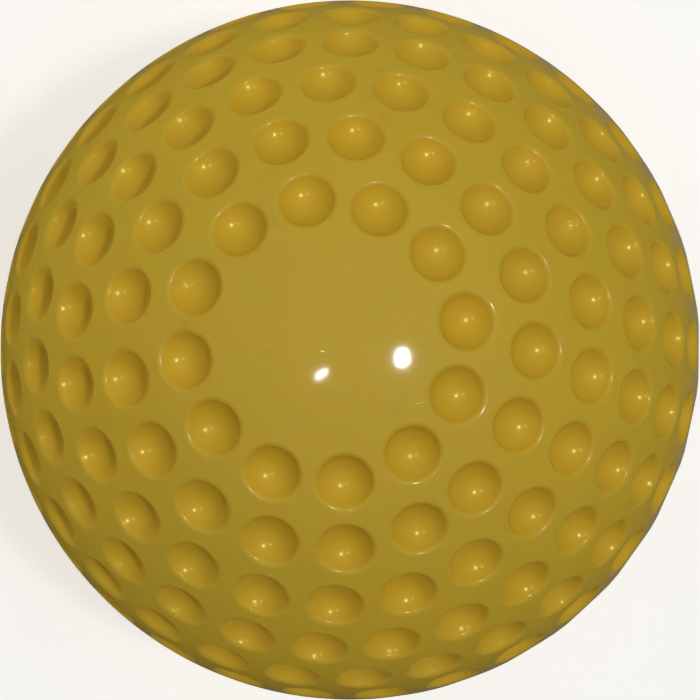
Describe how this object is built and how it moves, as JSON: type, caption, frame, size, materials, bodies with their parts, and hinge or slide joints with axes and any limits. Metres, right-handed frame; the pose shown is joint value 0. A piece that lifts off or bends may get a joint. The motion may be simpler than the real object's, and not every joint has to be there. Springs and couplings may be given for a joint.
{
  "type": "dimpled practice ball",
  "caption": "Solid dimpled ball: two bonded polyurethane half shells with rings of dimples round smooth caps, over a yarn-wound cork-and-rubber core.",
  "frame": {"origin": "centre of the ball", "axes": "+Z along the mould axis to the middle of the upper smooth cap, +X on the meridian where the upper rings of dimples start, the first ring 1.5 degrees past it, +Y completes a right-handed frame"},
  "size_m": [0.073, 0.073, 0.073],
  "materials": {
    "cover": "glossy moulded mustard-yellow polyurethane",
    "bond": "cured polyurethane adhesive, slightly darker than the cover",
    "yarn": "undyed wound yarn",
    "cork_rubber": "matt cork granules bonded in rubber"
  },
  "bodies": {
    "root": {"cover_upper": "cover", "cover_lower": "cover", "seam_bond": "bond", "yarn_winding": "yarn", "core": "cork_rubber"}
  },
  "joints": []
}
